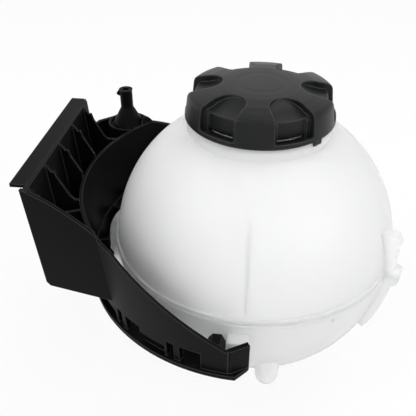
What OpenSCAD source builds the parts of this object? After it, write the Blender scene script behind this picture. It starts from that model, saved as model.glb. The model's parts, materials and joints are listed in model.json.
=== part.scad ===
// Coolant expansion tank: a round two-part tank in a ribbed plastic bracket, with a
// six-lobed screw cap that carries a pressure valve and a vacuum valve.
// Millimetres, +Z up. The origin is the centre of the end of the outlet stub, on the
// tank's upright axis. Heights named _z are counted from the centre of the round tank.

/* [Tank] */
// Outside radius of the round tank
tank_r = 75; // [72:0.5:77]
// Wall of both tank halves
tank_wall = 3; // [2:0.25:4]
// Height of the weld seam above the tank's centre
seam_z = 3.5; // [2:0.5:6]
// How far the weld bead stands proud of the tank
bead_proud = 0.8; // [0.4:0.1:1.5]
// Height of the weld bead of one half
bead_h = 2.2; // [1.5:0.1:3]
// Thickness of the baffle walls inside the tank
baffle_t = 2; // [1.5:0.25:3]

/* [Neck] */
// Radius of the neck under the cap's thread ring
neck_r = 27.5; // [26:0.25:28.5]
// Radius of the neck's bore
neck_bore_r = 22.5; // [21.5:0.25:23.5]
// Height of the neck's mouth above the top of the round tank
neck_rise = 3; // [2:0.25:5]
// Radius of the round pedestal that shows below the cap
collar_r = 36; // [35:0.1:36]

/* [Stubs and lugs] */
// Outside radius of the outlet stub
outlet_r = 11; // [9:0.5:13]
// Free length of the outlet stub below the tank
outlet_len = 24; // [18:1:32]
// Outside radius of the vent stub
vent_r = 4.5; // [4:0.25:6]
// Free length of the vent stub behind the tank
vent_len = 18; // [14:1:24]
// Height of the vent stub above the tank's centre
vent_z = 30; // [24:1:36]
// Wall of both hose stubs
stub_wall = 2; // [1.5:0.25:2.5]
// How far the hose bead stands proud of its stub
stub_bead = 1; // [0.5:0.25:1.5]
// Width of the side lug
lug_w = 6; // [5:0.5:8]
// How far the fin below the side lug stands proud
fin_proud = 4; // [3:0.25:4.5]
// Radius of the boss that locates the tank in the bracket
side_boss_r = 12.5; // [11:0.25:13]
// Height of the boss's foot above the tank's centre
side_boss_foot_z = -25; // [-28:0.5:-22]
// Radius of the locating peg under the tank
peg_r = 5.9; // [5:0.1:7]
// Height of the peg's tip above the tank's centre
peg_tip_z = -53.4; // [-56:0.2:-51]

/* [Cap] */
// Radius of the cap at its lower rim
cap_r = 36.9; // [35.5:0.1:38]
// Radius of the cap at the top edge of its lobes
cap_top_r = 35.5; // [34.5:0.1:36]
// Height of the cap's lobes
cap_h = 13.5; // [12.5:0.25:15]
// Rise of the cap's domed top over its lobes
cap_dome = 3; // [2.5:0.25:4]
// Number of lobes
lobes = 6; // [5:1:8]
// Half of the angle that one lobe takes
lobe_half_angle = 13.7; // [11:0.1:16]
// Azimuth of the lobe at the front
lobe_azimuth = -91.8; // [-100:0.1:-85]
// Wall of the cap's skirt
cap_wall = 2.4; // [2:0.1:3]
// Height of the rim that joins the lobes
rim_h = 2.4; // [2:0.1:3]
// Thickness of the threaded ring inside the cap
ring_wall = 2.5; // [2:0.1:2.7]
// Turns of the cap from tight to free
cap_turns = 1.5; // [1:0.25:1.5]
// Lift of the cap for one turn
thread_pitch = 4; // [3:0.5:4]

/* [Valve] */
// Outside radius of the valve body in the neck
valve_r = 21.6; // [20.5:0.1:21.7]
// Wall of the valve body
valve_wall = 4.4; // [4:0.1:5]
// Depth of the valve body below the neck's mouth
valve_depth = 22; // [20:0.5:26]
// Thickness of the valve body's flange
valve_flange = 1.6; // [1.2:0.1:2]
// Thickness of the flat gasket on the neck's mouth
gasket_t = 1; // [0.6:0.1:1.4]
// Radius of the pressure valve's seat bore
seat_r = 7.5; // [6.5:0.25:8.5]
// Wire radius of the pressure spring
spring_wire = 0.6; // [0.4:0.05:0.8]
// Turns of the pressure spring
spring_turns = 5; // [4:1:7]

/* [Bracket] */
// Outside radius of the curved wall at its top edge
wall_top_r = 92.2; // [91.6:0.1:93]
// Outside radius of the curved wall at its foot
wall_foot_r = 89; // [88.5:0.1:89.5]
// Thickness of the bracket's walls
bracket_wall = 2.4; // [2:0.1:3]
// Height of the curved wall's top edge above the tank's centre
wall_top_z = 33.4; // [31:0.2:36]
// Height of the foot flange's underside above the tank's centre
flange_z = -17.2; // [-19:0.2:-15]
// Thickness of the foot flange
flange_t = 2.3; // [1.8:0.1:3]
// Outside radius of the foot flange
flange_r = 90.8; // [90.4:0.1:91.5]
// Distance of the box's side wall from the tank's axis, at its top
box_reach = 104.35; // [103:0.05:106]
// Height of the box's top above the tank's centre
box_top_z = 54; // [50:0.5:58]
// Height of the box's open underside above the tank's centre
box_foot_z = -2.5; // [-5:0.5:0]
// Lean of the box's side wall over its height
box_lean = 4; // [3:0.25:5]
// Width of the strip along the box's top
strip_w = 7.6; // [6:0.2:9]
// Distance between two ribs of the box
rib_pitch = 21.35; // [20.5:0.05:21.6]
// Thickness of a rib
rib_t = 1.4; // [1.2:0.1:2]
// Direction of the end panel, turned from the X axis
panel_turn = 11.8; // [10:0.1:13]
// Radius of the holes for the fixing bolts
bolt_r = 3.25; // [2.6:0.05:4]
// Height of the hose nozzle over the curved wall
nozzle_h = 22.1; // [18:0.2:26]

/* [Hidden] */
$fn = 96;
eps = 0.01;
far = 300;

// Clearances
gap = 0.3;          // between pieces that move past each other
fit = 0.05;         // between pieces that are pressed or slide in each other

// Heights from the tank's centre
centre_z = tank_r + outlet_len;
inner_r = tank_r - tank_wall;
neck_top_z = tank_r + neck_rise;
cap_z = tank_r - 3;
collar_top_z = cap_z - 0.5;
cap_edge_z = cap_z + cap_h;
cap_crown_z = cap_edge_z + cap_dome;
flange_top_z = flange_z + flange_t;
rib_foot_z = box_foot_z + 0.4;
panel_foot_z = box_foot_z - 0.2;

// Cap
ring_in_r = neck_r + gap;
ring_out_r = ring_in_r + ring_wall;
ring_foot_z = neck_top_z - cap_turns * thread_pitch + 1.5;
recess_in_r = ring_out_r + fit;
recess_out_r = recess_in_r + 1.6;
cap_inside_z = neck_top_z + gasket_t + valve_flange + gap;
notch_half_angle = 180 / lobes - lobe_half_angle;
scoop_in_r = 18.5;
scoop_in_z = cap_edge_z + 1.7;
scoop_out_z = cap_edge_z - 2.4;
scoop_run = recess_out_r - scoop_in_r;
scoop_fall = scoop_in_z - scoop_out_z;
scoop_r = (scoop_run * scoop_run + scoop_fall * scoop_fall) / (2 * scoop_fall);
notch_end_r = 8.2;
rim_t = 1.7;
recess_floor = 0.9;
slot_h = 2.6;
stud_r = 5;
stud_head_r = 7;
stud_lip_z = cap_inside_z + 1.6;

// Valve
valve_in_r = valve_r - valve_wall;
valve_foot_z = neck_top_z - valve_depth;
seat_t = 2;
seat_z = valve_foot_z + seat_t;
seal_t = 1.2;
plate_t = 1.8;
plate_z = seat_z + seal_t;
plate_r = seat_r + 3.5;
cover_t = 2;
cover_z = neck_top_z + gasket_t + valve_flange - cover_t;
spring_r = plate_r - 2.5;
oring_r = 1.5;
oring_z = neck_top_z - 4.5;
oring_pitch = 6;
vacuum_r = seat_r - 2.5;
stem_r = 1.8;
stem_hole_r = stem_r + gap;
vacuum_spring_len = 4;
clip_z = plate_z + plate_t + vacuum_spring_len;
clip_t = 1;

// Tank details, in the tank's own directions
neck_tube_wall = 2.5;
neck_tube_over = 2;
lug_azimuth = -25;
lug_top_z = 28;
lug_mid_z = 8;
lug_low_z = -4;
lug_body_r = 79.2;
lug_lip_r = 82.4;
fin_end = -27;
side_boss_x = -70.2;
side_boss_y = -1.3;
side_boss_dome_z = -8;
side_boss_dome_r = 22;
arm_lug_x = -2.6;
arm_lug_w = 10;
arm_lug_reach = 81;
arm_lug_top_z = -3.8;
peg_x = 12.1;
peg_y = -59.8;
gate_x = 41.1;
gate_y = -62.8;
gate_z = -1.5;

// Bracket
wall_thin = 1.6;
wall_in_foot_r = wall_foot_r - 2.8;
ledge_z = -2;
ledge_r = 87.8;
wall_in_top_r = wall_top_r - wall_thin;
flange_in_r = wall_foot_r - 9.2;
gusset_in_r = wall_in_foot_r - 5.6;
arm_half = 94;
arm_drawn_half = 94;  // the half angle at which the arm's end is drawn
arm_end_shift = wall_foot_r * (cos(arm_half) - cos(arm_drawn_half));
arm_high_x = -61.3;
arm_low_x = -6.7 + arm_end_shift;
arm_low_z = -0.5;
rear_slope_shift = 6.8;
arm_end_x = -6.4;
arm_end_turn = 31;
arm_end_len = 11.2;
recess_z = -9.6;
recess_d = 1.6;
corner_x = -67.3;
corner_y = -61.2;
panel_len = 34.8;
panel_t = 1.8;
strip_t = 1.8;
strip_front_y = -48.6;
strip_rear_y = 45;
side_front_y = -53.2;
side_rear_y = 42;
groove = 0.7;
rib_front_y = -51.2;
ribs = 5;
nozzle_x = -82.5;
nozzle_y = 58.1;
nozzle_r = 3.75;
nozzle_bore_r = 2.15;
nozzle_foot_r = 9.2;
cup_r = 12.4;
cup_foot_z = 8;
shield_azimuth = 142.5;
shield_len = 9;
boss_r = 7;
boss_z = 18;
boss_face = box_reach + 3.6;
boss_len = 9.2;
boss_places = [1.5, 3.5];
sleeve_r = 5;

module at_centre() {
    translate([0, 0, centre_z]) children();
}

module azimuth(a) {
    rotate([0, 0, a]) children();
}

// A ring of rectangular section, lying flat
module flat_ring(r_in, r_out, z, h) {
    translate([0, 0, z]) difference() {
        cylinder(r = r_out, h = h);
        translate([0, 0, -1]) cylinder(r = r_in, h = h + 2);
    }
}

// A plate drawn as an outline in X and Z, t thick from y upwards
module plate_xz(outline, y, t) {
    translate([0, y + t, 0]) rotate([90, 0, 0]) linear_extrude(t) polygon(outline);
}

// A block that points outwards at an azimuth
module radial_block(a, r_in, r_out, w, z, h) {
    azimuth(a) translate([r_in, -w / 2, z]) cube([r_out - r_in, w, h]);
}

module half_space(above) {
    translate([-far, -far, above ? seam_z : seam_z - 2 * far]) cube([2 * far, 2 * far, 2 * far]);
}

module weld_bead(z) {
    translate([0, 0, z]) cylinder(r = tank_r + bead_proud, h = bead_h);
}

// The side lug: a plate with a head and a foot
module side_lug() {
    azimuth(lug_azimuth) translate([0, lug_w / 2, 0]) rotate([90, 0, 0]) linear_extrude(lug_w)
        polygon([[60, lug_low_z - 6], [lug_body_r - 1, lug_low_z], [lug_lip_r, lug_low_z + 5],
            [lug_lip_r, lug_mid_z], [lug_body_r, lug_mid_z + 1.5], [lug_body_r - 0.4, lug_top_z - 6.5],
            [lug_body_r + 0.6, lug_top_z - 4], [lug_body_r - 2, lug_top_z], [60, lug_top_z - 1]]);
}

// The fin that runs down the tank from the side lug
module lug_fin() {
    azimuth(lug_azimuth) rotate([90, 0, 0]) translate([0, 0, -lug_w / 2]) linear_extrude(lug_w) difference() {
        circle(r = tank_r + fin_proud);
        circle(r = tank_r - 1);
        rotate(fin_end) translate([-far, -2 * far]) square([2 * far, 2 * far]);
        translate([-far, lug_low_z + 2]) square([2 * far, far]);
        translate([-2 * far, -far]) square([2 * far, 2 * far]);
    }
}

// The boss on the bracket's side, which stands in a round notch of the flange
module side_boss(r, foot_z) {
    grow = r - side_boss_r;
    translate([side_boss_x, side_boss_y, 0]) {
        translate([0, 0, foot_z]) cylinder(r = r, h = side_boss_dome_z - foot_z + eps);
        translate([0, 0, side_boss_dome_z]) rotate_extrude() intersection() {
            translate([side_boss_r - side_boss_dome_r, 0]) circle(r = side_boss_dome_r + grow);
            square([far, far]);
        }
    }
}

module arm_lugs() {
    for (s = [0, 1]) mirror([0, s, 0]) at_arm_end()
        translate([arm_lug_x - arm_lug_w / 2, -arm_lug_reach, flange_top_z])
            cube([arm_lug_w, arm_lug_reach - inner_r + 8, arm_lug_top_z - flange_top_z]);
}

// Hose stub: the plain tube with its bead, standing on z = 0
module hose_stub(r, len, root) {
    difference() {
        union() {
            translate([0, 0, -root]) cylinder(r = r, h = len + root);
            translate([0, 0, len - 5]) cylinder(r1 = r + stub_bead, r2 = r, h = 4);
            translate([0, 0, len - 6]) cylinder(r1 = r, r2 = r + stub_bead, h = 1 + eps);
        }
        translate([0, 0, -root - 1]) cylinder(r = r - stub_wall, h = len + root + 2);
    }
}

// Baffle walls: two crossed walls that leave the neck, the middle and the floor free
module baffles(z, h) {
    intersection() {
        sphere(r = inner_r + 1);
        for (a = [0, 90]) azimuth(a) difference() {
            translate([-far, -baffle_t / 2, z]) cube([2 * far, baffle_t, h]);
            translate([0, 0, z - 1]) cylinder(r = neck_bore_r + 8, h = h + 2);
        }
    }
}

module tank_lower() {
    color([0.93, 0.94, 0.94, 0.8]) at_centre() difference() {
        union() {
            difference() {
                union() {
                    sphere(r = tank_r);
                    weld_bead(seam_z - bead_h - 0.3);
                    side_lug();
                    lug_fin();
                    side_boss(side_boss_r, side_boss_foot_z);
                    arm_lugs();
                    locating_peg();
                    gate_mark();
                }
                half_space(true);
                sphere(r = inner_r);
                side_boss(side_boss_r - tank_wall, side_boss_foot_z + tank_wall);
            }
            rotate([180, 0, 0]) translate([0, 0, tank_r]) hose_stub(outlet_r, outlet_len, tank_wall + 1);
            baffles(-48, 40);
        }
        translate([0, 0, -far]) cylinder(r = outlet_r - stub_wall, h = far - inner_r + 4);
    }
}

module locating_peg() {
    translate([peg_x, peg_y, peg_tip_z + peg_r]) {
        cylinder(r1 = peg_r, r2 = peg_r + 1.4, h = 18);
        sphere(r = peg_r);
    }
}

// The small mark that the mould's gate leaves
module gate_mark() {
    translate([gate_x, gate_y, gate_z]) sphere(r = 1.1, $fn = 32);
}

module tank_upper() {
    color([0.95, 0.96, 0.96, 0.8]) at_centre() difference() {
        union() {
            difference() {
                union() {
                    sphere(r = tank_r);
                    weld_bead(seam_z + 0.3);
                    side_lug();
                    side_boss(side_boss_r, side_boss_foot_z);
                    cylinder(r = collar_r, h = collar_top_z);
                }
                half_space(false);
                sphere(r = inner_r);
                side_boss(side_boss_r - tank_wall, side_boss_foot_z + tank_wall);
                cylinder(r = collar_r - tank_wall, h = collar_top_z - tank_wall);
            }
            translate([0, 0, collar_top_z - tank_wall]) cylinder(r = neck_r, h = neck_top_z - collar_top_z + tank_wall);
            translate([0, 0, valve_foot_z - neck_tube_over]) cylinder(r = neck_bore_r + neck_tube_wall, h = collar_top_z - valve_foot_z);
            translate([0, sqrt(tank_r * tank_r - vent_z * vent_z), vent_z]) rotate([-90, 0, 0])
                hose_stub(vent_r, vent_len, tank_wall + 2);
            baffles(8, 36);
        }
        translate([0, 0, valve_foot_z - neck_tube_over - 1]) cylinder(r = neck_bore_r, h = far);
        translate([0, inner_r - 20, vent_z]) rotate([-90, 0, 0]) cylinder(r = vent_r - stub_wall, h = far);
    }
}

// The space inside the curved wall, which nothing of the box reaches into
module wall_void() {
    rotate_extrude() polygon([[0, -far], [wall_in_foot_r, -far], [wall_in_foot_r + 0.7, ledge_z], [ledge_r, ledge_z],
        [wall_in_top_r, wall_top_z], [wall_top_r, wall_top_z], [wall_top_r, far], [0, far]]);
}

module arc_ring(a_from, a_to) {
    azimuth(a_from) rotate_extrude(angle = a_to - a_from) children();
}

module curved_wall() {
    arc_ring(arm_half, 360 - arm_half) polygon([[wall_in_foot_r, flange_z], [wall_foot_r, flange_z],
        [wall_top_r, wall_top_z], [wall_in_top_r, wall_top_z], [ledge_r, ledge_z],
        [wall_in_foot_r + 0.7, ledge_z]]);
}

module foot_flange() {
    arc_ring(arm_half - 1, 361 - arm_half) translate([flange_in_r, flange_z])
        square([flange_r - flange_in_r, flange_t]);
}

// Turns what stands at the end of the front arm to that end
module at_arm_end() {
    azimuth(arm_drawn_half - arm_half) children();
}

// One arm's end: the wall that closes it, the flange's tip, and the latch beside the tank's lug
module arm_end() {
    intersection() {
        translate([arm_end_x, -wall_foot_r - 0.7, flange_z]) rotate([0, 0, arm_end_turn]) translate([-2, 0, 0])
            cube([arm_end_len + 2, bracket_wall, arm_low_z - flange_z]);
        translate([0, 0, flange_z - 1]) cylinder(r = wall_foot_r - 0.05, h = far);
    }
    translate([0, 0, flange_z]) linear_extrude(flange_t)
        polygon([[-8, -flange_r + 0.4], [-2.8, -flange_r + 0.1], [2.8, -flange_r + 6.2], [2.8, -flange_in_r],
            [-8, -flange_in_r + 0.4]]);
    plate_xz([[-16, flange_z], [-16, -1.5], [-14, 1.2], [-10, 1.2], [-7.9, -3], [-7.9, flange_z]],
        -wall_in_foot_r - 0.6, 6.6);
}

// Cuts the slope of one arm's top edge
module arm_slope(shift, y) {
    plate_xz([[arm_high_x - shift, wall_top_z], [arm_low_x - shift, arm_low_z], [far, arm_low_z],
        [far, far], [arm_high_x - shift, far]], y, far);
}

// A wide and a narrow window side by side in the wall's foot
module window_pair(a) {
    for (w = [[-3.2, 6.8], [-7.6, 2.6]])
        arc_ring(a + w[0], a + w[0] + w[1]) translate([wall_in_foot_r - 2, flange_top_z])
            square([10, 10.4]);
}

// The shallow recess along the wall's foot
module foot_recess(a_from, a_to) {
    arc_ring(a_from, a_to) polygon([[wall_foot_r - recess_d, flange_top_z], [far, flange_top_z],
        [far, recess_z + 1.4], [wall_foot_r + 0.6, recess_z + 1.4], [wall_foot_r - recess_d, recess_z]]);
}

module wall_cuts() {
    for (s = [0, 1]) mirror([0, s, 0]) {
        window_pair(-arm_half - 33);
        window_pair(-arm_half - 11.7);
        foot_recess(-arm_half - 56, -arm_half - 42);
        foot_recess(-arm_half - 30, -arm_half - 20);
    }
}

// Upright plates between the flange and the wall
module gussets() {
    for (s = [0, 1], a = [-169.4, -157, -145, -arm_half - 25, -arm_half - 5]) mirror([0, s, 0]) azimuth(a)
        translate([gusset_in_r, -rib_t / 2, flange_z]) cube([wall_in_foot_r - gusset_in_r + 1, rib_t, ledge_z - flange_z]);
}

// Side wall of the box, which leans outwards, with the strip along its top
module box_side() {
    low = box_reach - box_lean;
    difference() {
        union() {
            plate_xz([[-box_reach, box_top_z - strip_t], [-box_reach - strip_w, box_top_z - strip_t],
                [-box_reach - strip_w, box_top_z], [-box_reach + 1, box_top_z], [-box_reach + 1, box_top_z - strip_t]],
                strip_front_y, strip_rear_y - strip_front_y);
            plate_xz([[-low, box_foot_z], [-box_reach, box_top_z], [-box_reach + bracket_wall, box_top_z],
                [-low + bracket_wall, box_foot_z]], side_front_y, side_rear_y - side_front_y);
        }
        translate([-box_reach + 0.1, -far, box_top_z - groove]) cube([groove, 2 * far, 1]);
    }
}

// The ribs across the box: a step under the strip, then a slope down to the curved wall
module box_rib(y) {
    x = -box_reach + bracket_wall;
    low = -box_reach + box_lean;
    plate_xz([[low + 1, rib_foot_z], [x - 1, box_top_z - 1], [x, box_top_z - 0.4], [x + 2.8, box_top_z - 4.5],
        [x + 4.2, box_top_z - 4.3], [x + 5.2, box_top_z - 8], [x + 10.4, wall_top_z + 2.6], [x + 12.5, wall_top_z + 0.5],
        [-50, wall_top_z + 0.1], [-50, rib_foot_z]], y, rib_t);
}

// End panel of the box: it starts on the curved wall and rises to the strip
module end_panel() {
    translate([corner_x, corner_y, 0]) rotate([0, 0, 180 - panel_turn]) rotate([90, 0, 0])
        linear_extrude(panel_t) polygon([[-2, panel_foot_z], [-2, wall_top_z - 0.6], [0, wall_top_z + 0.4],
            [2.4, 35.8], [5.2, 38.1], [11, 42], [16.3, 45], [24.8, 49.3], [33.5, 52.5], [39.2, box_top_z],
            [panel_len, panel_foot_z + 2], [panel_len - 2, panel_foot_z]]);
}

// Keeps the ribs on the inner side of the end panel
module beyond_panel() {
    translate([corner_x, corner_y, 0]) rotate([0, 0, 180 - panel_turn]) translate([-far, 0, -far])
        cube([2 * far, far, 2 * far]);
}

// Wall that closes the box behind its last rib and ends on the nozzle's cup
module rear_wall() {
    translate([0, 0, cup_foot_z - 0.4]) linear_extrude(wall_top_z - cup_foot_z + 0.2) polygon([[-102.7, 40], [-103.9, 53.1],
        [-101.8, 59], [-93.4, 66.3], [-91.8, 65], [-100.4, 57.6], [-102, 52.6], [-99.6, 40]]);
}

// The cup that the nozzle stands in, with a rim that swells towards the curved wall
module nozzle_cup() {
    translate([nozzle_x, nozzle_y, 0]) {
        difference() {
            translate([0, 0, cup_foot_z]) cylinder(r = cup_r, h = wall_top_z - cup_foot_z - 2.4);
            translate([0, 0, cup_foot_z - 1]) cylinder(r = cup_r - 1.8, h = wall_top_z - cup_foot_z - 3.4);
        }
        rotate_extrude() polygon([[cup_r - 3, wall_top_z - 3], [cup_r - 1.6, wall_top_z + 0.4], [cup_r - 0.9, wall_top_z + 1],
            [cup_r - 0.2, wall_top_z + 0.8], [cup_r, wall_top_z + 0.2], [cup_r, wall_top_z - 3]]);
    }
}

// The hump that the curved wall rises to beside the nozzle
module nozzle_shield() {
    difference() {
        azimuth(shield_azimuth) translate([wall_foot_r - 1, 0, 0]) rotate([90, 0, 90]) linear_extrude(shield_len)
            polygon([[9, cup_foot_z + 0.6], [9, 33.2], [5.6, 34], [3.2, 35.2], [1.4, 36.8], [-0.2, 38], [-1.6, 38.5],
                [-2.8, 38.2], [-4.2, 37.2], [-5.7, 35.6], [-7.4, 33.2], [-8.4, cup_foot_z + 0.6]]);
        translate([nozzle_x, nozzle_y, wall_top_z - 3]) cylinder(r = nozzle_foot_r + 1, h = far);
        translate([nozzle_x, nozzle_y, 0]) cylinder(r = cup_r - 1.8, h = wall_top_z - 3.4);
    }
}

module nozzle() {
    translate([nozzle_x, nozzle_y, wall_top_z - 3]) {
        cylinder(r = cup_r - 2, h = 2);
        translate([0, 0, 2 - eps]) cylinder(r = nozzle_foot_r, h = 1.4);
        translate([0, 0, 3.4 - 2 * eps]) cylinder(r1 = nozzle_foot_r, r2 = nozzle_r, h = 10.2);
        cylinder(r = nozzle_r, h = nozzle_h + 3);
        translate([0, 0, nozzle_h + 1.8]) cylinder(r1 = nozzle_r, r2 = nozzle_r + 0.4, h = 1.2);
    }
    plate_xz([[nozzle_x - nozzle_r + 0.8, wall_top_z + nozzle_h], [nozzle_x - nozzle_r - 0.2, wall_top_z + nozzle_h],
        [nozzle_x - 5.6, wall_top_z + nozzle_h - 2.4], [nozzle_x - 5.2, wall_top_z + nozzle_h - 3.2],
        [nozzle_x - nozzle_r + 0.8, wall_top_z + nozzle_h - 4.4]], nozzle_y - 1.5, 3);
}

module bolt_bosses() {
    for (k = boss_places) translate([-boss_face, rib_front_y + k * rib_pitch + rib_t / 2, boss_z])
        rotate([0, 90, 0]) cylinder(r = boss_r, h = boss_len);
}

module bolt_holes() {
    for (k = boss_places) translate([-boss_face - 1, rib_front_y + k * rib_pitch + rib_t / 2, boss_z])
        rotate([0, 90, 0]) cylinder(r = sleeve_r, h = boss_len + 2);
}

module bracket() {
    color([0.11, 0.11, 0.12]) at_centre() difference() {
        union() {
            difference() {
                union() {
                    curved_wall();
                    foot_flange();
                    gussets();
                    for (s = [0, 1]) mirror([0, s, 0]) at_arm_end() arm_end();
                }
                arm_slope(0, -far);
                arm_slope(rear_slope_shift, 0);
                wall_cuts();
            }
            difference() {
                union() {
                    box_side();
                    end_panel();
                    difference() {
                        for (k = [0:ribs - 1]) box_rib(rib_front_y + k * rib_pitch);
                        beyond_panel();
                    }
                    radial_block(-156.7, min(wall_foot_r, wall_in_top_r), 100, rib_t, rib_foot_z,
                        wall_top_z - 0.3 - rib_foot_z);
                    rear_wall();
                    nozzle_cup();
                }
                wall_void();
            }
            difference() {
                nozzle_shield();
                cylinder(r = wall_in_top_r + 0.3, h = far);
            }
            nozzle();
            bolt_bosses();
        }
        bolt_holes();
        translate([nozzle_x, nozzle_y, 0]) cylinder(r = nozzle_bore_r, h = far);
        sphere(r = tank_r + bead_proud + gap);
        side_boss(side_boss_r + gap, side_boss_foot_z - 5);
    }
}

module bolt_sleeves() {
    color([0.72, 0.73, 0.75]) at_centre()
        for (k = boss_places) translate([-boss_face - 0.2, rib_front_y + k * rib_pitch + rib_t / 2, boss_z])
            rotate([0, 90, 0]) difference() {
                cylinder(r = sleeve_r - fit, h = boss_len + 0.4);
                translate([0, 0, -1]) cylinder(r = bolt_r, h = boss_len + 3);
            }
}

// Outline of one notch between two lobes, seen from above
module notch_2d() {
    w = cap_r * sin(notch_half_angle);
    translate([scoop_in_r + notch_end_r, 0]) circle(r = notch_end_r);
    polygon([[scoop_in_r + notch_end_r, -notch_end_r], [cap_r + 4, -w - 0.6],
        [cap_r + 4, w + 0.6], [scoop_in_r + notch_end_r, notch_end_r]]);
}

module grip_outside() {
    rotate_extrude() polygon([[0, cap_z], [cap_r - 0.4, cap_z], [cap_r, cap_z + 0.4],
        [cap_top_r + 0.2, cap_edge_z - 3], [cap_top_r, cap_edge_z - 1.9], [cap_top_r - 0.5, cap_edge_z - 0.8],
        [cap_top_r - 1.5, cap_edge_z], [cap_top_r - 4.5, cap_edge_z + 0.9], [26, cap_edge_z + 1.9],
        [19, cap_crown_z - 0.35], [14, cap_crown_z - 0.15], [11.5, cap_crown_z - 0.15],
        [9, cap_crown_z - 0.05], [0, cap_crown_z]]);
}

// The space under each lobe
module lobe_hollow() {
    arc_ring(-lobe_half_angle + 4.5, lobe_half_angle - 4.5)
        translate([recess_out_r, cap_z - 1]) square([cap_top_r - cap_wall - recess_out_r + 0.6, cap_h - 4]);
}

module grip_inside() {
    translate([0, 0, cap_z - 1]) cylinder(r = recess_in_r, h = cap_inside_z - cap_z + 1);
    cylinder(r = 14, h = cap_crown_z - 2.4);
    for (k = [0:lobes - 1]) azimuth(lobe_azimuth + k * 360 / lobes) lobe_hollow();
}

// What one notch takes away: a bowl on the top, a slot on the side and a groove behind the rim
module notch() {
    intersection() {
        linear_extrude(far) notch_2d();
        union() {
            translate([recess_out_r, 0, scoop_out_z + scoop_r]) rotate([90, 0, 0])
                cylinder(r = scoop_r, h = 60, center = true);
            translate([recess_out_r, -far, cap_z + rim_h]) cube([far, 2 * far, far]);
            flat_ring(recess_out_r, cap_r - rim_t, cap_z + recess_floor, far);
        }
    }
    arc_ring(-notch_half_angle + 4, notch_half_angle - 4) translate([recess_in_r - 1, cap_z + recess_floor])
        square([recess_out_r - recess_in_r + 2, slot_h]);
}

// Upright ribs at both ends of each recess
module recess_ribs() {
    for (k = [0:lobes - 1], s = [-1, 1])
        azimuth(lobe_azimuth + (k + 0.5) * 360 / lobes + s * (notch_half_angle - 2))
            translate([recess_out_r - 0.5, -0.9, cap_z + 0.4])
                cube([1.6, 1.8, scoop_out_z - cap_z - 1.2]);
}

module cap_grip() {
    color([0.17, 0.17, 0.18]) at_centre() difference() {
        union() {
            difference() {
                grip_outside();
                grip_inside();
                for (k = [0:lobes - 1]) azimuth(lobe_azimuth + (k + 0.5) * 360 / lobes) notch();
            }
            recess_ribs();
            flat_ring(stud_head_r + gap, stud_head_r + gap + 1.6, cap_inside_z, cap_crown_z - 1.4 - cap_inside_z);
            flat_ring(stud_r + gap, stud_head_r + gap + 1, cap_inside_z, stud_lip_z - cap_inside_z);
            azimuth(-42) translate([collar_r + gap, -2.6, cap_z - 2]) cube([cap_r - collar_r - gap, 5.2, 2.3]);
        }
        translate([0, 0, cap_z - 3]) cylinder(r = recess_in_r, h = cap_inside_z - cap_z + 3 - 0.5);
    }
}

module cap_thread_ring() {
    color([0.2, 0.2, 0.21]) at_centre()
        flat_ring(ring_in_r, ring_out_r, ring_foot_z, cap_inside_z - ring_foot_z);
}

module valve_body() {
    color([0.16, 0.16, 0.17]) at_centre() difference() {
        union() {
            translate([0, 0, valve_foot_z]) cylinder(r = valve_r, h = valve_depth + gasket_t + valve_flange);
            translate([0, 0, neck_top_z + gasket_t]) cylinder(r = neck_r - 1, h = valve_flange);
        }
        translate([0, 0, valve_foot_z - 1]) cylinder(r = seat_r, h = far);
        translate([0, 0, seat_z]) cylinder(r = valve_in_r, h = far);
        translate([0, 0, cover_z]) cylinder(r = valve_in_r + 1, h = far);
        for (k = [0, 1])
            flat_ring(valve_r - 2.2, valve_r + 2, oring_z - k * oring_pitch - oring_r - 0.1, 2 * oring_r + 0.2);
    }
}

module valve_cover() {
    color([0.2, 0.2, 0.21]) at_centre() difference() {
        union() {
            translate([0, 0, cover_z]) cylinder(r = valve_in_r + 1 - fit, h = cover_t);
            translate([0, 0, cover_z]) cylinder(r = stud_r, h = stud_lip_z + gap + 1.8 - cover_z);
            translate([0, 0, stud_lip_z + gap]) cylinder(r = stud_head_r, h = 1.8);
        }
        for (a = [0:60:300]) azimuth(a) translate([13, 0, cover_z - 1]) cylinder(r = 1.6, h = cover_t + 2);
    }
}

module valve_orings() {
    color([0.05, 0.05, 0.05]) at_centre() for (k = [0, 1]) translate([0, 0, oring_z - k * oring_pitch])
        rotate_extrude() translate([neck_bore_r - fit - oring_r, 0]) circle(r = oring_r, $fn = 32);
}

module neck_gasket() {
    color([0.05, 0.05, 0.05]) at_centre()
        flat_ring(neck_bore_r + 0.5, neck_r - 1, neck_top_z, gasket_t);
}

module pressure_plate() {
    color("goldenrod") at_centre() difference() {
        union() {
            translate([0, 0, plate_z]) cylinder(r = plate_r, h = plate_t);
            translate([0, 0, plate_z]) cylinder(r = spring_r - spring_wire - gap, h = plate_t + 1.2);
        }
        translate([0, 0, plate_z - 1]) cylinder(r = stem_hole_r, h = plate_t + 4);
        translate([0, 0, plate_z + plate_t]) cylinder(r = stem_r + 2.4, h = 4);
    }
}

module pressure_seal() {
    color([0.06, 0.06, 0.06]) at_centre() flat_ring(stem_hole_r + 0.6, plate_r, seat_z, seal_t);
}

// A coil spring: rings of points swept along a helix, with closed ends
module coil_spring(r, wire, z, len, turns) {
    sides = 8;
    steps = turns * 20;
    rise = len - 2 * wire;
    points = [for (i = [0:steps], j = [0:sides - 1])
        let (a = 360 * turns * i / steps, b = 360 * j / sides, rr = r + wire * cos(b))
        [rr * cos(a), rr * sin(a), z + wire + rise * i / steps + wire * sin(b)]];
    sweep = [for (i = [0:steps - 1], j = [0:sides - 1])
        let (n = (j + 1) % sides)
        [i * sides + j, (i + 1) * sides + j, (i + 1) * sides + n, i * sides + n]];
    polyhedron(points, concat([[for (j = [0:sides - 1]) j]], sweep,
        [[for (j = [sides - 1:-1:0]) steps * sides + j]]), convexity = 10);
}

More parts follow.
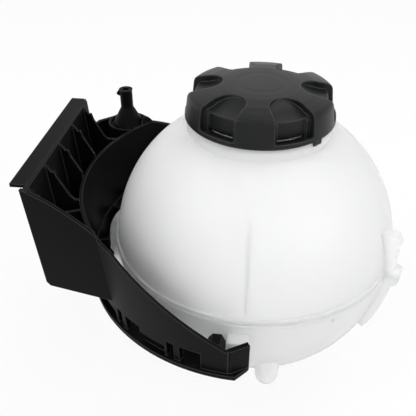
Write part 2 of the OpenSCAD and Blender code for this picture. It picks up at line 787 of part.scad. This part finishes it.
module pressure_spring() {
    color("silver") at_centre() coil_spring(spring_r, spring_wire, plate_z + plate_t, cover_z - plate_z - plate_t,
        spring_turns);
}

module vacuum_valve() {
    color("goldenrod") at_centre() {
        translate([0, 0, seat_z - 1.4]) cylinder(r = vacuum_r, h = 1.4);
        translate([0, 0, seat_z - 1.4]) cylinder(r = stem_r, h = clip_z + clip_t + 0.6 - seat_z + 1.4);
    }
}

module vacuum_clip() {
    color("silver") at_centre() flat_ring(stem_r + fit, stem_r + 1.8, clip_z, clip_t);
}

module vacuum_spring() {
    color("silver") at_centre() coil_spring(stem_r + 1.1, 0.3, plate_z + plate_t, vacuum_spring_len, 4);
}

tank_lower();
tank_upper();
bracket();
bolt_sleeves();
cap_grip();
cap_thread_ring();
valve_body();
valve_cover();
valve_orings();
neck_gasket();
pressure_plate();
pressure_seal();
pressure_spring();
vacuum_valve();
vacuum_clip();
vacuum_spring();
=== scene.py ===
# %% [markdown]
# # Coolant expansion tank: looks
# The imported model is already right in shape and size. This script gives each piece the
# finish that it has on the real object, then adds a floor, soft light and a camera.
# From a step away four kinds of surface matter: milky translucent plastic for the tank,
# fine grained black plastic for the bracket, satin charcoal plastic for the cap, and
# rubber, brass and steel for the small parts in the neck.
#
# The model is loaded first, and its box is measured.

import bpy
import json
import math
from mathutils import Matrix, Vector


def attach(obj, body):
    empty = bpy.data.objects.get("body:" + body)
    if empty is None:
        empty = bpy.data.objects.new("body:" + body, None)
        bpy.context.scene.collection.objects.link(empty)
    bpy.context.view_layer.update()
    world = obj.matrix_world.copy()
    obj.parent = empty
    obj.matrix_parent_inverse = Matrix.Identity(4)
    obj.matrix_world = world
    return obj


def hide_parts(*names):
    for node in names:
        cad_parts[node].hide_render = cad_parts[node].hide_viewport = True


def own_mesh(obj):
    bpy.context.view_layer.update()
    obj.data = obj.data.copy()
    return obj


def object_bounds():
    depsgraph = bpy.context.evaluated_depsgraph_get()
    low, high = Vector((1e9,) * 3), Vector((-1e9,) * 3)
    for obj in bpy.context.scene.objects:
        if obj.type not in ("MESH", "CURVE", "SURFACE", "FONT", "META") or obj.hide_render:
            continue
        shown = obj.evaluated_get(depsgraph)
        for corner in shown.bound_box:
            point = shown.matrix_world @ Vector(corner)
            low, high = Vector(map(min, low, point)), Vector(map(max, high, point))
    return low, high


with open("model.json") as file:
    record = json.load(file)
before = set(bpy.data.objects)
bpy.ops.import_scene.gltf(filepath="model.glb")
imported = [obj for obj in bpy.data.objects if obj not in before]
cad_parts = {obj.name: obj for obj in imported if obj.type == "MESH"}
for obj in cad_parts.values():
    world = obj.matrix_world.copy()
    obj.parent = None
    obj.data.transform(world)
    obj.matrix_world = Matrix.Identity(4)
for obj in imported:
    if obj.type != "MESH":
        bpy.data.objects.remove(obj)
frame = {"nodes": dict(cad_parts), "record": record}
cad_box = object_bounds()
parts = frame["nodes"]
scene = bpy.context.scene
print("pieces:", len(parts), "box in mm:", [round(1000 * (b - a)) for a, b in zip(*cad_box)])

# %% [markdown]
# ## Shader maths as Python expressions
# A shader is a graph of nodes, and plain sums in it soon fill a screen. They could be
# added node by node, but a mask is easier to read as `1 - edge * 0.5`. So a small class
# wraps one output and overloads the operators. Only values go through it. Colours are
# mixed with the Mix node, because a Math node would turn them grey.

# %% A value in a shader graph
class Value:
    def __init__(self, finish, socket):
        self.finish = finish
        self.socket = socket

    def maths(self, operation, *values):
        return self.finish.node("ShaderNodeMath", {"operation": operation}, *values)

    def __add__(self, other):
        return self.maths("ADD", self, other)

    def __radd__(self, other):
        return self.maths("ADD", other, self)

    def __sub__(self, other):
        return self.maths("SUBTRACT", self, other)

    def __rsub__(self, other):
        return self.maths("SUBTRACT", other, self)

    def __mul__(self, other):
        return self.maths("MULTIPLY", self, other)

    def __rmul__(self, other):
        return self.maths("MULTIPLY", other, self)

    def or_else(self, other):
        """1 where either of two masks is 1."""
        return self.maths("MAXIMUM", self, other)

    def ramped(self, low, high):
        """0 at low, 1 at high, and a straight line between them."""
        return self.finish.node("ShaderNodeClamp", {}, (self - low) * (1 / (high - low)))


print("operators for shader values: + - * and ramped")

# %% [markdown]
# ## One finish, one small graph
# Each material starts as a Principled shader, whose constants are set straight on its
# sockets. One method, `node`, adds any other node. Its settings go in first, because
# some of them change which sockets the node has.
#
# Two helpers do most of the work. `noise` gives soft blotches of a stated size in metres,
# in the piece's own directions, so that they stay on a piece that moves. `edge` finds
# sharp edges: it compares the plain surface direction with one that is rounded off.

# %% A material under construction
EDGE_STARTS = 0.01  # how far the two directions part where an edge begins to show
EDGE_IS_FULL = 0.22
FIRST_COLOUR, SECOND_COLOUR, MIXED_COLOUR = 6, 7, 2  # places on a Mix node

class Finish:
    def __init__(self, name, **constants):
        self.material = bpy.data.materials.new(name)
        self.material.use_nodes = True
        self.tree = self.material.node_tree
        self.shader = self.tree.nodes["Principled BSDF"]
        self.set(**constants)

    def plug(self, value, socket):
        """A Value becomes a link. Anything else becomes the socket's constant."""
        if isinstance(value, Value):
            self.tree.links.new(value.socket, socket)
        elif isinstance(value, tuple) and socket.type == "RGBA":
            socket.default_value = (*value, 1)
        else:
            socket.default_value = value

    def set(self, **sockets):
        """Fills the shader's own sockets, and hands back the finished material."""
        for name, value in sockets.items():
            self.plug(value, self.shader.inputs[name.replace("_", " ")])
        return self.material

    def node(self, kind, settings, *values, out=0, **named):
        made = self.tree.nodes.new(kind)
        for key, setting in settings.items():
            setattr(made, key, setting)
        for socket, value in zip(made.inputs, values):
            self.plug(value, socket)
        for key, value in named.items():
            self.plug(value, made.inputs[key.replace("_", " ")])
        return Value(self, made.outputs[out])

    def noise(self, size, detail):
        """Soft noise from 0 to 1 whose blotches are about size metres wide."""
        place = self.node("ShaderNodeTexCoord", {}, out="Object")
        return self.node("ShaderNodeTexNoise", {}, Vector=place, Scale=1 / size, Detail=detail)

    def mix(self, factor, first, second):
        """From the first colour, where the factor is 0, to the second. A Mix node has
        sockets for every kind of value, so those for colours are found by their place."""
        mixed = self.node("ShaderNodeMix", {"data_type": "RGBA"}, factor, out=MIXED_COLOUR)
        self.plug(first, mixed.socket.node.inputs[FIRST_COLOUR])
        self.plug(second, mixed.socket.node.inputs[SECOND_COLOUR])
        return mixed

    def edge(self, radius):
        """1 on sharp edges and 0 on flat stretches, and the rounded direction itself."""
        rounded = self.node("ShaderNodeBevel", {"samples": 6}, Radius=radius)
        plain = self.node("ShaderNodeNewGeometry", {}, out="Normal")
        alike = self.node("ShaderNodeVectorMath", {"operation": "DOT_PRODUCT"}, rounded, plain,
                          out="Value")
        return (1 - alike).ramped(EDGE_STARTS, EDGE_IS_FULL), rounded

    def bump(self, height, strength, distance, **normal):
        return self.node("ShaderNodeBump", {}, Strength=strength, Distance=distance,
                         Height=height, **normal)


finishes = {}
print("finish helpers are ready")

# %% [markdown]
# ## Black bracket
# The bracket is moulded in glass filled nylon. Its faces have a fine spark grain that
# kills the shine, and they are a little greyer in places, where they were drawn out of
# the mould. Thin edges come out smooth and a little less rough. A plain dark colour would
# make the ribs run together, so the edge mask paints a lighter grey on them, a painted
# highlight where they catch the light, and the grain is a bump, because real grooves of that
# size would need millions of faces.

# %% Bracket plastic
def bracket_plastic():
    f = Finish("bracket_plastic", IOR=1.5, Specular_IOR_Level=0.06)
    edge, rounded = f.edge(0.0007)
    cloud = f.noise(size=0.045, detail=3).ramped(0.3, 0.7)
    grain = f.noise(size=0.0006, detail=2)
    face = f.mix(cloud, (0.0015, 0.0015, 0.0017), (0.0035, 0.0035, 0.0038))
    # The lighter grey mixed in along the edges is a painted highlight.
    return f.set(Base_Color=f.mix(edge * 0.6, face, (0.09, 0.09, 0.094)),
                 Roughness=0.42 + 0.1 * cloud - 0.08 * edge,
                 Normal=f.bump(grain, 0.12, 0.0003, Normal=rounded))


finishes["bracket_plastic"] = bracket_plastic()
print("made", sorted(finishes))

# %% [markdown]
# ## Satin cap
# The cap is moulded too, but its mould is polished, so its lobes carry soft white
# highlights, and along their edges the edge mask paints a lighter grey, a painted highlight.
# It is a shade greyer than the bracket. Handling leaves cloudy marks that change only the
# gloss, so the same soft noise that tints the face drives its roughness. The valve housing
# inside is the same plastic in a lighter grey, and shares the recipe, painted highlight too.

# %% Cap and valve plastic
def satin_plastic(name, dark, light):
    f = Finish(name, IOR=1.5, Specular_IOR_Level=0.16)
    edge, rounded = f.edge(0.0012)
    cloud = f.noise(size=0.02, detail=4).ramped(0.3, 0.7)
    grain = f.noise(size=0.0009, detail=3)
    face = f.mix(cloud, dark, light)
    # The lighter grey mixed in along the edges is a painted highlight.
    return f.set(Base_Color=f.mix(edge * 0.4, face, (0.09, 0.092, 0.096)),
                 Roughness=0.3 + 0.1 * cloud,
                 Normal=f.bump(grain, 0.08, 0.0003, Normal=rounded))


finishes["cap_plastic"] = satin_plastic(
    "cap_plastic", (0.007, 0.0073, 0.0079), (0.011, 0.0114, 0.012))
finishes["valve_plastic"] = satin_plastic(
    "valve_plastic", (0.014, 0.014, 0.015), (0.022, 0.022, 0.023))
print("made", sorted(finishes))

# %% [markdown]
# ## Milky tank
# The tank is welded from two halves of natural polypropylene. The wall lets light
# through but blurs it, so the baffles inside show only as faint shadows, and the side
# next to the black bracket is darker. White paint would look solid, and clear glass
# would show everything. Half of the light therefore goes through a very rough glass,
# and the other half scatters under the surface. A thin coat gives the soft shine of a
# moulded face, and slow waves in it are the marks of the plastic's flow.

# %% Tank plastic
def tank_plastic():
    f = Finish("tank_plastic", IOR=1.49, Transmission_Weight=0.5,
               Subsurface_Weight=1.0, Subsurface_Scale=0.004, Subsurface_Radius=(1.0, 1.0, 1.0),
               Coat_Weight=0.2, Coat_Roughness=0.22)
    edge, rounded = f.edge(0.0006)
    cloud = f.noise(size=0.05, detail=3).ramped(0.3, 0.7)
    flow = f.noise(size=0.012, detail=4).ramped(0.35, 0.65)
    face = f.mix(cloud, (0.975, 0.977, 0.98), (0.99, 0.991, 0.992))
    return f.set(Base_Color=f.mix(edge * 0.4, face, (0.98, 0.98, 0.98)),
                 Roughness=0.62 + 0.08 * flow,
                 Normal=f.bump(flow, 0.05, 0.0004, Normal=rounded))


finishes["tank_plastic"] = tank_plastic()
print("made", sorted(finishes))

# %% [markdown]
# ## Rubber, brass and steel
# The small parts inside the neck show only when the pieces round them are hidden. The
# seals are dull rubber with a slightly uneven surface. The metal parts are turned on a
# lathe, which leaves fine rings round their axis. The rings could be cut into the mesh,
# but at that size they only change how the metal shines, so a wave texture round the Z
# axis drives the bump and the roughness.

# %% Seals and metal
RING_SCALE = 900.0

def seal_rubber():
    f = Finish("seal_rubber")
    cloud = f.noise(size=0.004, detail=3)
    return f.set(Base_Color=f.mix(cloud, (0.010, 0.010, 0.010), (0.022, 0.022, 0.022)),
                 Roughness=0.55 + 0.15 * cloud, Normal=f.bump(cloud, 0.1, 0.0002))


def turned_metal(name, dark, light):
    f = Finish(name, Metallic=1.0)
    place = f.node("ShaderNodeTexCoord", {}, out="Object")
    rings = f.node("ShaderNodeTexWave", {"wave_type": "RINGS", "rings_direction": "Z"},
                   Vector=place, Scale=RING_SCALE, Distortion=2.0, Detail=2.0, out="Fac")
    cloud = f.noise(size=0.006, detail=3)
    return f.set(Base_Color=f.mix(cloud, dark, light), Roughness=0.28 + 0.1 * rings,
                 Normal=f.bump(rings, 0.1, 0.0001))


finishes["seal_rubber"] = seal_rubber()
for name, dark, light in (
    ("sleeve_steel", (0.55, 0.55, 0.53), (0.68, 0.68, 0.66)),
    ("valve_brass", (0.62, 0.45, 0.20), (0.75, 0.57, 0.28)),
    ("spring_steel", (0.5, 0.5, 0.5), (0.66, 0.66, 0.66)),
):
    finishes[name] = turned_metal(name, dark, light)
print("made", sorted(finishes))

# %% [markdown]
# ## Dress the pieces
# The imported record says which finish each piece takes, so a loop over it does the work
# and nothing has to be listed twice.

# %% Give each piece its finish
for piece in frame["record"]["subparts"]:
    slots = parts[piece["node"]].data.materials
    slots.clear()
    slots.append(finishes[piece["material_slot"]])
    print(piece["node"], "wears", piece["material_slot"])

# %% [markdown]
# ## Coil springs
# Each valve works against a coil spring. A spring is stiff wire, but the coil shortens
# with the valve's travel. Here each coil is a copy of the imported solid with a mesh of
# its own, which rides on one body in place of the hidden imported piece and keeps its length.

def working_spring(node, body):
    coil = bpy.data.objects.new(node + "_coil", parts[node].data.copy())
    scene.collection.objects.link(coil)
    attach(coil, body)
    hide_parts(node)
    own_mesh(coil)


working_spring("pressure_spring", "valve_unit")
working_spring("vacuum_spring", "pressure_valve")

# %% [markdown]
# ## Floor
# The photograph has a plain pale ground. More light on a white floor would whiten it,
# but would burn out the tank too. So the floor is a matt white that takes the object's
# soft shadow, and what the camera sees of it, directly, in a shine or through the tank's
# wall, is mostly a plain white glow. The glow lights nothing else.

# %% Floor
FLOOR_SIZE = 8.0
FLOOR_DROP = 0.0005  # keeps the floor just clear of the lowest face
FLOOR_TONE = 0.82
GLOW_TONE = 0.985
GLOW_SHARE = 0.8

def floor_paint():
    f = Finish("floor_paint")
    f.tree.nodes.remove(f.shader)
    matt = f.node("ShaderNodeBsdfDiffuse", {}, (FLOOR_TONE, FLOOR_TONE, FLOOR_TONE))
    glow = f.node("ShaderNodeEmission", {}, (GLOW_TONE, GLOW_TONE, GLOW_TONE))
    direct, through, shine = (f.node("ShaderNodeLightPath", {}, out=ray) for ray in (
        "Is Camera Ray", "Is Transmission Ray", "Is Glossy Ray"))
    seen = direct.or_else(through).or_else(shine)
    mixed = f.node("ShaderNodeMixShader", {}, seen * GLOW_SHARE, matt, glow)
    f.plug(mixed, f.tree.nodes["Material Output"].inputs["Surface"])
    return f.material


bpy.ops.mesh.primitive_plane_add(size=FLOOR_SIZE, location=(0, 0, cad_box[0].z - FLOOR_DROP))
floor = bpy.context.object
floor.name = "floor"
floor.data.materials.append(floor_paint())
print("floor at", round(1000 * floor.location.z, 1), "mm")

# %% [markdown]
# ## Light
# The object was lit by a white room with large soft boxes. A pale world gives the even
# part, at a level where a colour renders about as it is written. A single bright lamp
# would leave hard shadows in the ribs. Three large, weak area lamps give the satin
# plastics something to shine with instead: one overhead, one from the front right for
# the cap's lobes, and one from the front left for the tank's side beside the bracket.

# %% World and lamps
WORLD_LEVEL = 0.97
MIDDLE = (0, 0, 0.1)

world = bpy.data.worlds.new("room")
world.use_nodes = True
world.node_tree.nodes["Background"].inputs["Color"].default_value = (1, 1, 1, 1)
world.node_tree.nodes["Background"].inputs["Strength"].default_value = WORLD_LEVEL
scene.world = world

def facing(direction):
    """The turn that points a lamp or a camera along a direction."""
    return direction.to_track_quat("-Z", "Y").to_euler()


def soft_box(name, place, width, height, watts):
    lamp = bpy.data.lights.new(name, "AREA")
    lamp.shape = "RECTANGLE"
    lamp.size = width
    lamp.size_y = height
    lamp.energy = watts
    holder = bpy.data.objects.new(name, lamp)
    holder.location = place
    holder.rotation_euler = facing(Vector(MIDDLE) - Vector(place))
    scene.collection.objects.link(holder)
    print(name, "at", place, "with", watts, "W")


soft_box("soft_box_over", (0.35, 0.2, 1.15), 0.5, 0.5, 1.5)
soft_box("soft_box_right", (0.85, -0.6, 0.6), 0.5, 0.7, 4)
soft_box("soft_box_front", (-0.8, -0.5, 1.0), 0.8, 0.8, 4.5)

# %% [markdown]
# ## Camera
# The tank's round outline and the cap's rim fix the camera's place in the photograph: it
# stands in front of the tank and a little above it, and looks down at 35.5 degrees. It
# could be moved until the picture looks right, but a worked out place makes every other
# feature measurable in the photograph.
#
# Light that crosses the milky wall bounces many times before it comes out. The usual
# limits would cut it short and turn the tank grey, so they are raised.

# %% Camera
CAMERA_PLACE = (0.00466, -0.25686, 0.2965)
CAMERA_DOWN = math.radians(35.495)
CAMERA_TURN = math.radians(-6.718)
CAMERA_LENS = 49.5
DIFFUSE_BOUNCES = 24
MOST_BOUNCES = 32

camera = bpy.data.cameras.new("camera")
camera.sensor_width = 36
camera.lens = CAMERA_LENS
camera.clip_start = 0.01
camera.clip_end = 20
holder = bpy.data.objects.new("camera", camera)
scene.collection.objects.link(holder)
look = Vector((math.sin(CAMERA_TURN) * math.cos(CAMERA_DOWN),
               math.cos(CAMERA_TURN) * math.cos(CAMERA_DOWN),
               -math.sin(CAMERA_DOWN)))
holder.location = CAMERA_PLACE
holder.rotation_euler = facing(look)
scene.camera = holder
scene.view_settings.view_transform = "Standard"
scene.cycles.diffuse_bounces = DIFFUSE_BOUNCES
scene.cycles.transmission_bounces = MOST_BOUNCES
scene.cycles.max_bounces = MOST_BOUNCES
print("camera at", [round(v, 3) for v in holder.location])
